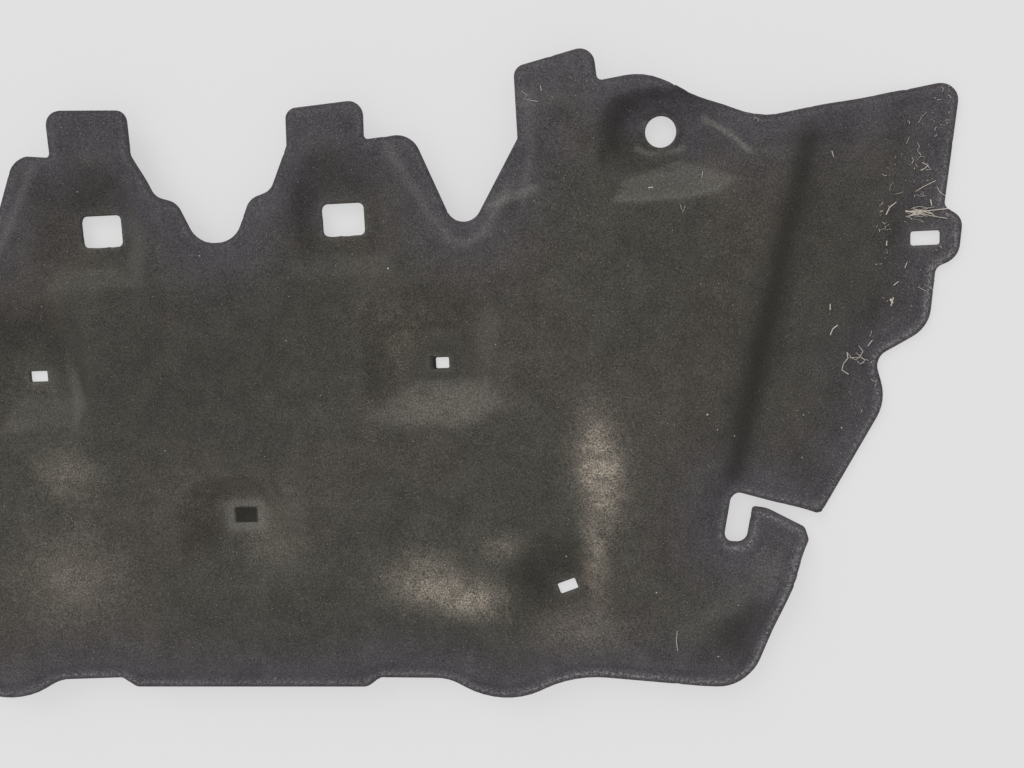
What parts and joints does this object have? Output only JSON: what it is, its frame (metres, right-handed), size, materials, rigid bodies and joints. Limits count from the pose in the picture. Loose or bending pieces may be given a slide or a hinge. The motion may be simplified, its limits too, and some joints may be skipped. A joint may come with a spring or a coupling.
{
  "type": "hood insulation pad",
  "caption": "Moulded felt pad for the underside of a car hood, with pressed clip recesses, die-cut tabs, slots and stepped-down ends.",
  "frame": {"origin": "centre of the middle clip seat, on its back face, on the pad's plane of symmetry", "axes": "+X across the car, +Y towards the tabbed edge, +Z from the back face up through the engine-side face"},
  "size_m": [1.2546, 0.5553, 0.028],
  "materials": {
    "felt": "needled felt, compressed and paler along the edges"
  },
  "bodies": {
    "root": {"insulation_pad": "felt"}
  },
  "joints": []
}
